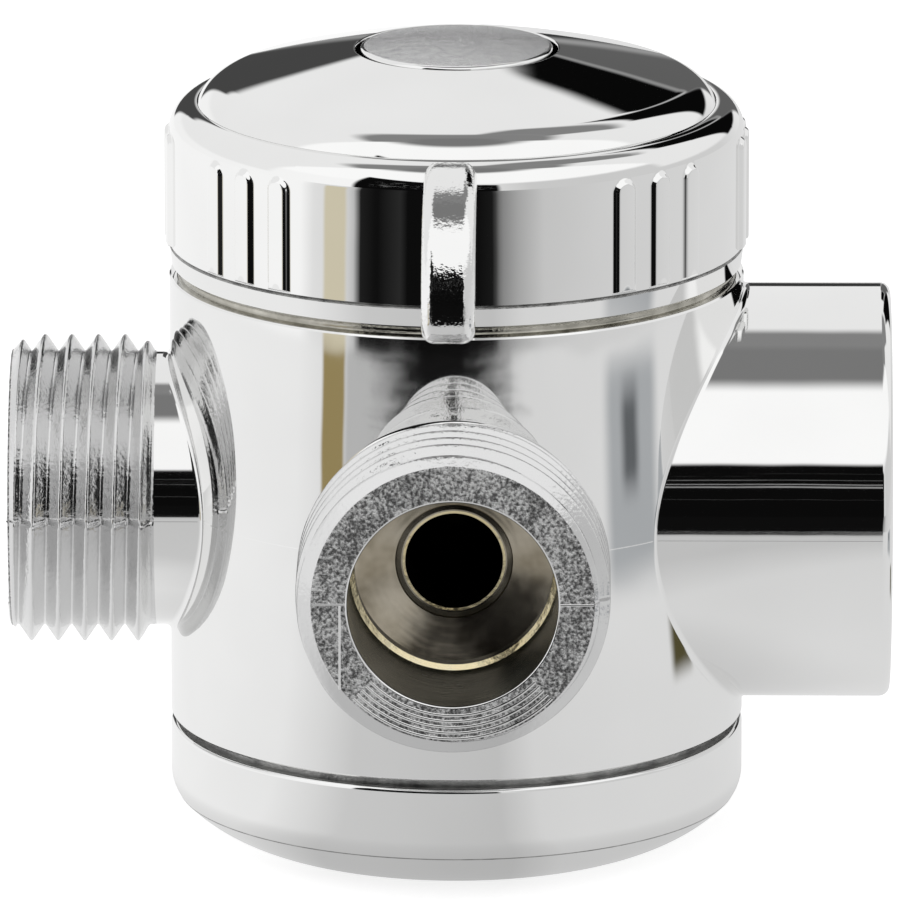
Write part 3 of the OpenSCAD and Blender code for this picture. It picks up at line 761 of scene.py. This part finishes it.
# ---------------------------------------------------------------- glide ring
def glide_ring():
    """The polished ring in the gap under the knob, with chamfered edges."""
    shell = Shell()
    inner, outer, chamfer = 17.5, GLIDE_HI.x + 0.2, 0.14
    low, high = GLIDE_LO.z, GLIDE_HI.z
    revolve_all(shell, UPRIGHT, straight([
        (inner, high), (inner, low), (outer - chamfer, low), (outer, low + chamfer)]), flip=True)
    swell = 0.05
    revolve(shell, UPRIGHT, [
        (outer, low + chamfer), (outer + swell, (low + high) / 2), (outer, high - chamfer)], flip=True)
    revolve_all(shell, UPRIGHT, straight([(outer, high - chamfer), (outer - chamfer, high), (inner, high)]),
                flip=True)
    return shell.build("glide_ring_polished", "root", [GLIDE], ["glide_ring"])


# ---------------------------------------------------------------- knob
KNOB_Z = KNOB_LO.z
SEAM_Z = KNOB_Z + 11.15
DOME_R = 17.6
SHOULDER_R = BODY_R - DOME_R
FLANGE_Z = KNOB_Z + 1.46
GROOVE_D = 0.12  # depth and half height of the groove above the flange band
RIB_W, RIB_PROUD, RIB_PITCH, RIB_GROUP = 1.8, 0.34, 9.2, 45.6
RIB_FOOT, RIB_HEAD = FLANGE_Z + 0.22, SEAM_Z - 1.7


def rib_angles():
    step = (360 - 2 * RIB_GROUP) / 6
    return [math.radians(-90 + RIB_GROUP + g * step + i * RIB_PITCH) for g in range(7) for i in (-1, 0, 1)]


def rib_height(across, z):
    """How far the skirt stands out at a distance across from a rib's middle."""
    soft = 0.34
    round_z = RIB_HEAD - RIB_W / 2
    reach = np.where(z > round_z, np.hypot(across, z - round_z), np.abs(across))
    inside = np.minimum(RIB_W / 2 - reach, (z - RIB_FOOT) * 3)
    crown = 0.04 * smooth(inside, 0, RIB_W / 2)
    return (RIB_PROUD - 0.04) * smooth(inside, -soft * 0.2, soft) + crown


def skirt(shell):
    """The knob's skirt and rounded shoulder, with the ribs raised out of it."""
    near = 1.25
    centres = np.array(rib_angles())
    angles = []
    for n, centre in enumerate(centres):
        angles += [centre + x / BODY_R for x in np.linspace(-near, near, 31)]
        after = centres[(n + 1) % len(centres)] + (2 * math.pi if n == len(centres) - 1 else 0)
        gap = (after - near / BODY_R) - (centre + near / BODY_R)
        count = max(2, int(round(gap * BODY_R / 0.6)))
        angles += [centre + near / BODY_R + gap * k / count for k in range(1, count)]
    angles = np.array(angles + [angles[0] + 2 * math.pi])
    wall_top = SEAM_Z - SHOULDER_R
    foot_rows = [FLANGE_Z + GROOVE_D] + list(np.linspace(RIB_FOOT - 0.05, RIB_FOOT + 0.2, 8))
    mid_rows = list(np.linspace(RIB_FOOT + 0.6, RIB_HEAD - 1.3, 9))
    head_rows = list(np.linspace(RIB_HEAD - 1.1, RIB_HEAD + 0.1, 18))
    profile = [(BODY_R, z) for z in foot_rows + mid_rows + head_rows if z < wall_top - 1e-6]
    profile += arc(DOME_R, wall_top, SHOULDER_R, 0, 90, 26)
    profile = np.array(profile)
    tangent = np.gradient(profile, axis=0)
    tangent /= np.linalg.norm(tangent, axis=1, keepdims=True)
    across = (angles[None, :, None] - centres[None, None, :] + math.pi) % (2 * math.pi) - math.pi
    across = np.abs(across).min(-1) * BODY_R
    height = rib_height(across, profile[:, 1][:, None] * np.ones_like(across))
    radius = profile[:, 0][:, None] + height * tangent[:, 1][:, None]
    rise = profile[:, 1][:, None] - height * tangent[:, 0][:, None]
    points = np.stack([radius * np.cos(angles), radius * np.sin(angles), rise], -1)
    grid(shell, KNOB, points, 1)
    return angles


def ring_at(shell, axes, angles, profile, slot=0, flip=False):
    """Revolves flat-sided steps over given angles, to meet a patch with the same ones."""
    sign = -1 if flip else 1
    for (r0, z0), (r1, z1) in zip(profile[:-1], profile[1:]):
        length = math.hypot(r1 - r0, z1 - z0)
        out, rise = (z1 - z0) / length * sign, -(r1 - r0) / length * sign
        cos, sin = np.cos(angles), np.sin(angles)
        one = np.ones_like(angles)
        points = np.stack([np.outer([r0, r1], cos), np.outer([r0, r1], sin), np.outer([z0, z1], one)], -1)
        normals = np.stack([np.outer([out, out], cos), np.outer([out, out], sin),
                            np.outer([rise, rise], one)], -1)
        shell.patch(axes.place(points.reshape(-1, 3)), axes.aim(normals.reshape(-1, 3)),
                    grid_faces(2, len(angles)), slot)


def pointer(shell):
    """The thumb tab: a spine of arcs in side view, swept with a flat face and rounded flanks."""
    reach, width, edge = 27.2, 3.6, 0.9
    arc_r, chin_r = 8.4, 1.7
    top, bottom, root = SEAM_Z - 0.05, KNOB_Z + 0.55, 17.9
    spine = [(r, top) for r in np.linspace(root, reach - arc_r, 4)[:-1]]
    spine += arc(reach - arc_r, top - arc_r, arc_r, 90, 0, 28)
    chin = arc(reach - chin_r, bottom + chin_r, chin_r, 0, -90, 14)
    spine += chin
    spine += [(r, bottom) for r in np.linspace(reach - chin_r, root, 4)[1:]]
    spine = np.array(spine)
    tangent = np.gradient(spine, axis=0)
    tangent /= np.linalg.norm(tangent, axis=1, keepdims=True)
    out = np.stack([-tangent[:, 1], tangent[:, 0]], -1)
    half = width / 2
    round_part = np.linspace(0, math.pi / 2, 11)
    section = [(-half + edge - edge * math.cos(t), edge - edge * math.sin(t)) for t in round_part]
    cross = [(-math.cos(t), math.sin(t)) for t in round_part]
    section += [(-x, d) for x, d in reversed(section)]
    cross += [(-side, lift) for side, lift in reversed(cross)]
    points, normals = [], []
    for (r, z), (nr, nz) in zip(spine, out):
        for (x, depth), (side, lift) in zip(section, cross):
            points.append((x, -(r - nr * depth), z - nz * depth))
            normals.append((side, -nr * lift, nz * lift))
    normals = np.array(normals)
    points = np.array(points)
    columns = len(section)
    shell.patch(KNOB.place(points), KNOB.aim(normals), grid_faces(len(spine), columns), 2)
    inner = []
    for side, column in ((-1, 0), (1, columns - 1)):
        edge_line = points.reshape(len(spine), columns, 3)[:, column]
        middle = np.array([side * half, -root, (top + bottom) / 2])
        fan = np.concatenate([edge_line, [middle]])
        count = len(edge_line)
        faces = [(k, k + 1, count) for k in range(count - 1)]
        shell.patch(KNOB.place(fan), KNOB.aim(np.tile((side, 0, 0), (count + 1, 1))), faces)
        inner.append(middle)
    ends = points.reshape(len(spine), columns, 3)
    back = np.concatenate([ends[0], inner[1:], ends[-1][::-1], inner[:1]])
    shell.patch(KNOB.place(back), KNOB.aim(np.tile((0, 1, 0), (len(back), 1))), [tuple(range(len(back)))])


def knob():
    shell = Shell()
    angles = skirt(shell)
    foot_r = BODY_R - 0.16
    ring_at(shell, KNOB, angles, [
        (BODY_R, FLANGE_Z + GROOVE_D), (BODY_R - GROOVE_D, FLANGE_Z), (BODY_R, FLANGE_Z - GROOVE_D)], 1, True)
    ring_at(shell, KNOB, angles, [(BODY_R, FLANGE_Z - GROOVE_D), (foot_r, KNOB_Z + 0.12)], 0, True)
    hub_r, hub_top, spline_r = 9.0, KNOB_HI.z, 3.92
    ledge, plate = SEAM_Z - 0.75, SEAM_Z - 1.95
    web, bore_r, inner_r = CLIP_HI.z + 0.17, 7.2, 17.5
    ring_at(shell, KNOB, angles, [
        (foot_r, KNOB_Z + 0.12), (foot_r - 0.12, KNOB_Z), (inner_r, KNOB_Z), (inner_r, plate - 1),
        (inner_r - 1, plate), (bore_r, plate), (bore_r, web), (spline_r, web), (spline_r, hub_top),
        (hub_r, hub_top), (hub_r, ledge), (DOME_R, ledge), (DOME_R, SEAM_Z)], 0, True)
    pointer(shell)
    return shell.build("knob_plated", "knob", [CHROME_KNOB, GROOVE, CHROME_POINTER], ["knob"])


# ---------------------------------------------------------------- dome and button
def knob_dome():
    shell = Shell()
    roll_r, low, high = 3.2, 27, 75
    hole_r, hole_z, thick, fit = 6.85, 54.5, 1.2, 0.03
    centre = (DOME_R - fit - roll_r * math.cos(math.radians(low)),
              SEAM_Z - roll_r * math.sin(math.radians(low)))
    roll = arc(*centre, roll_r, low, high, 24)
    start = roll[-1]
    bevel = 0.15
    slope = [(start[0] + (hole_r + bevel - start[0]) * t,
              start[1] + (hole_z - start[1]) * t + 0.32 * t * (1 - t)) for t in np.linspace(0, 1, 16)]
    ledge = DOME_LO.z
    revolve(shell, KNOB, [(DOME_R - fit, ledge), (DOME_R - fit, roll[0][1])])
    revolve(shell, KNOB, roll + slope[1:])
    revolve(shell, KNOB, arc(hole_r + bevel, hole_z - bevel, bevel, 90, 180, 4))
    revolve_all(shell, KNOB, straight([
        (hole_r, hole_z - bevel), (hole_r, hole_z - thick), (11.0, hole_z - 2.2), (start[0] - 0.6, ledge + 1),
        (DOME_R - 1.8, ledge), (DOME_R - fit, ledge)]))
    return shell.build("knob_dome_plated", "knob", [CHROME_KNOB], ["knob_dome"])


def knob_button():
    shell = Shell()
    radius = BUTTON_HI.x + 0.14
    top, crown, edge = BUTTON_HI.z, 0.42, 0.26
    base = BUTTON_LO.z
    crown_r = (radius ** 2 + crown ** 2) / (2 * crown)
    swell = [(r, top - crown_r + math.sqrt(crown_r ** 2 - r ** 2)) for r in np.linspace(radius - edge, 0, 24)]
    revolve(shell, KNOB, swell, 0, around=96)
    revolve(shell, KNOB, arc(radius - edge, swell[0][1] - edge, edge, 0, 90, 5), 1, around=96)
    revolve_all(shell, KNOB, straight([
        (0, base + 1.55), (5.2, base + 1.55), (5.2, base), (radius, base), (radius, swell[0][1] - edge)]),
        1, around=96)
    return shell.build("knob_button_satin", "knob", [SATIN, CHROME_KNOB], ["knob_button"])


valve_body()
base_cap()
glide_ring()
knob()
knob_dome()
knob_button()

# ---------------------------------------------------------------- camera
AIM = Vector((0, 0, 26.7)) * MM
AZIMUTH, ELEVATION, DISTANCE = math.radians(-0.494), math.radians(14.416), 1076.9 * MM
SENSOR = 36.0
FOCAL = 629.6
cam_data = bpy.data.cameras.new("camera")
cam_data.sensor_width = SENSOR
cam_data.lens = FOCAL
cam_data.shift_x = -0.0051
cam_data.shift_y = -0.0074
cam_data.clip_start = 0.05
cam_data.clip_end = 20
camera = bpy.data.objects.new("camera", cam_data)
bpy.context.scene.collection.objects.link(camera)
look = Vector((math.sin(AZIMUTH) * math.cos(ELEVATION), math.cos(AZIMUTH) * math.cos(ELEVATION),
               -math.sin(ELEVATION)))
camera.location = AIM - look * DISTANCE
camera.rotation_euler = look.to_track_quat("-Z", "Y").to_euler()
bpy.context.scene.camera = camera

# ---------------------------------------------------------------- studio
bpy.context.scene.view_settings.view_transform = "Standard"


def window(nodes, value, lo, hi, soft):
    """1 between lo and hi, with soft edges."""
    up = nodes.span(value, lo - soft, lo + soft, smooth_step=True)
    down = nodes.span(value, hi - soft, hi + soft, smooth_step=True)
    return nodes.math("SUBTRACT", up, down, clamp=True)


DEGREES = 180 / math.pi
PLATING = 0.9  # share of light that the plating mirrors
# The table in front of the valve: brightness round it, by azimuth from the camera's side. It is darker in
# front, painted shade where the valve and camera shade it.
TABLE = [(-180, 0.93), (-100, 0.92), (-62, 0.9), (-46, 0.84), (-34, 0.77), (14, 0.74), (26, 0.82),
         (60, 0.84), (180, 0.85)]
# Past the table's edge: a dark room between two white side walls
ROOM = [(-180, 0.95), (-62, 0.95), (-56, 0.86), (-43, 0.82), (-39.5, 0.74), (-37, 0.12), (-30, 0.05),
        (-20.5, 0.16), (-19, 0.05), (8, 0.05), (15, 0.1), (17.5, 0.5), (24, 0.64), (34, 0.76), (60, 0.8),
        (180, 0.86)]
# Things that stand on the table or lie past it: azimuth range, distance range in metres, softness, colour
MARKS = [
    (-42, 21, 0.13, 0.19, 1.5, 0.004, (0.69, 0.69, 0.69)),
    (-51.5, -42.5, 0.118, 0.215, 0.8, 0.002, (0.56, 0.5, 0.34)),
    (59, 82, 0.096, 0.162, 3, 0.009, (0.64, 0.65, 0.66)),
    (66, 73, 0.124, 0.152, 2.2, 0.008, (0.36, 0.37, 0.38)),
    (86, 97, 0.066, 0.086, 2, 0.004, (0.3, 0.28, 0.18)),
]
# The room's walls above the table's level, by azimuth from the camera's side
SIDES = [(-180, 0.93), (-10, 0.96), (30, 0.78), (130, 0.8), (160, 0.88), (180, 0.93)]
# Soft boxes and flags above the table: azimuth range, elevation range, edge softness, brightness, and how
# much lower the elevation range lies for each degree of azimuth
PANELS = [
    (-200, 200, 27, 80, 4, 0.97, 0),
    (-200, 200, 74, 95, 5, 0.46, 0),
    (-41, 17.5, -60, 28, 1.3, 0.04, 0.35),
]
# The same behind the valve: azimuth from the back, positive to the right
BACK_PANELS = [
    (-100, 90, 10, 68, 3, 0.9, 0),
    (-100, 90, 67, 80, 3, 0.5, 0),
    (8, 55, 50, 70, 3, 0.5, 0),
    (15, 38, 8, 45, 1.5, 0.03, 0),
    (5, 14, 19, 33, 1.5, 0.03, 0),
    (-3, 3, -6, 10, 1, 0.2, 0),
    (-18, -3, -2, 20, 1.5, 0.26, 0),
    (3, 16, -5, 19, 1.5, 0.36, 0),
]


def light_for(shade):
    """The light that bright plating has to mirror to look this bright, 0 to 1 as shown on a screen."""
    return ((shade + 0.055) / 1.055) ** 2.4 / PLATING


def azimuth_ramp(nodes, azimuth, stops):
    return nodes.ramp(nodes.span(azimuth, -180, 180), [((a + 180) / 360, light_for(v)) for a, v in stops])


def studio():
    world = bpy.data.worlds.new("studio")
    world.use_nodes = True
    bpy.context.scene.world = world
    nodes = Nodes(world.node_tree)
    direction = nodes.add("TexCoord").outputs["Generated"]
    parts = nodes.add("SeparateXYZ")
    nodes.join(direction, parts.inputs[0])
    x, y, z = parts.outputs
    front = nodes.math("MULTIPLY", nodes.math("ARCTAN2", x, nodes.math("MULTIPLY", y, -1)), DEGREES)
    back = nodes.math("MULTIPLY", nodes.math("ARCTAN2", x, y), DEGREES)
    rise = nodes.math("MULTIPLY", nodes.math("ARCSINE", z), DEGREES)
    light = azimuth_ramp(nodes, front, SIDES)
    for azimuth, panels in ((front, PANELS), (back, BACK_PANELS)):
        for a0, a1, e0, e1, soft, value, lean in panels:
            leaning = nodes.math("MULTIPLY_ADD", azimuth, lean, rise) if lean else rise
            share = nodes.math("MULTIPLY", window(nodes, azimuth, a0, a1, soft),
                               window(nodes, leaning, e0, e1, soft))
            light = nodes.mix(share, light, light_for(value))
    glints = nodes.span(nodes.noise(nodes.stretch(direction, (14, 14, 60)), 1, 2), 0.62, 0.7)
    flag = nodes.math("MULTIPLY", window(nodes, front, -34, 15, 2), window(nodes, rise, 6, 26, 2))
    light = nodes.mix(nodes.math("MULTIPLY", nodes.math("MULTIPLY", glints, flag), 0.35), light, 0.8)
    seen = nodes.add("LightPath").outputs["Is Camera Ray"]
    backdrop = nodes.add("Background")
    nodes.join(nodes.mix(seen, light, 1.0), backdrop.inputs["Color"])
    out = nodes.add("OutputWorld")
    nodes.join(backdrop.outputs[0], out.inputs["Surface"])


def floor():
    """A plain white floor. What the plating mirrors of it is the table, with painted shade in front of the
    valve and a painted contact shadow round its base, and the dark room past its edge.
    """
    around, reach = 64, 1.6
    mesh = bpy.data.meshes.new("floor")
    ring = [(reach * math.cos(a), reach * math.sin(a), 0) for a in turned(around)[:-1]]
    mesh.from_pydata(ring, [], [tuple(range(around))])
    paint = bpy.data.materials.new("floor")
    paint.use_nodes = True
    nodes = Nodes(paint.node_tree)
    spot = nodes.add("SeparateXYZ")
    nodes.join(nodes.add("TexCoord").outputs["Object"], spot.inputs[0])
    x, y, _ = spot.outputs
    azimuth = nodes.math("MULTIPLY", nodes.math("ARCTAN2", x, nodes.math("MULTIPLY", y, -1)), DEGREES)
    squares = nodes.math("ADD", nodes.math("MULTIPLY", x, x), nodes.math("MULTIPLY", y, y))
    distance = nodes.math("SQRT", squares)
    table = azimuth_ramp(nodes, azimuth, TABLE)
    # Painted contact shadow: within 30 mm of the base, the mirrored floor is darkened towards 0.3.
    contact_shadow = nodes.span(distance, 0.016, 0.03, 0.7, 1.0, smooth_step=True)
    light = nodes.mix(contact_shadow, 0.3, table)
    for a0, a1, r0, r1, soft_a, soft_r, colour in MARKS:
        share = nodes.math("MULTIPLY", window(nodes, azimuth, a0, a1, soft_a),
                           window(nodes, distance, r0, r1, soft_r))
        light = nodes.mix(share, light, tuple(light_for(c) for c in colour))
    # the ragged dark edge of the table, streaked round the valve
    round_valve = nodes.add("CombineXYZ")
    nodes.join(nodes.math("MULTIPLY", azimuth, 0.012), round_valve.inputs[0])
    nodes.join(nodes.math("MULTIPLY", distance, 900), round_valve.inputs[1])
    streaks = nodes.noise(round_valve.outputs[0], 1, 3, 0.65)
    ragged = nodes.math("MULTIPLY_ADD", nodes.math("SUBTRACT", streaks, 0.5), 90, azimuth)
    smear = nodes.math("MULTIPLY", window(nodes, ragged, -25, 15, 1.5),
                       window(nodes, distance, 0.139, 0.19, 0.003))
    light = nodes.mix(smear, light, light_for(0.08))
    # the room past the table, with a strip of wood on its left wall
    strip = nodes.math("MULTIPLY", window(nodes, azimuth, -51.5, -42.5, 1),
                       window(nodes, distance, 0.17, 0.5, 0.003))
    wood = tuple(light_for(c) for c in (0.78, 0.75, 0.66))
    room = nodes.mix(strip, azimuth_ramp(nodes, azimuth, ROOM), wood)
    past = nodes.span(distance, 0.168, 0.174, smooth_step=True)
    light = nodes.mix(past, light, room)
    mirrored = nodes.add("Emission")
    nodes.join(light, mirrored.inputs["Color"])
    matte = nodes.add("BsdfDiffuse")
    matte.inputs["Color"].default_value = (0.8, 0.8, 0.8, 1)
    lift = nodes.add("Emission")
    lift.inputs["Strength"].default_value = 0.6
    plain = nodes.add("AddShader")
    nodes.join(matte.outputs[0], plain.inputs[0])
    nodes.join(lift.outputs[0], plain.inputs[1])
    choice = nodes.add("MixShader")
    nodes.join(nodes.add("LightPath").outputs["Is Camera Ray"], choice.inputs[0])
    nodes.join(mirrored.outputs[0], choice.inputs[1])
    nodes.join(plain.outputs[0], choice.inputs[2])
    out = nodes.add("OutputMaterial")
    nodes.join(choice.outputs[0], out.inputs["Surface"])
    mesh.materials.append(paint)
    ground = bpy.data.objects.new("floor", mesh)
    bpy.context.scene.collection.objects.link(ground)


studio()
floor()
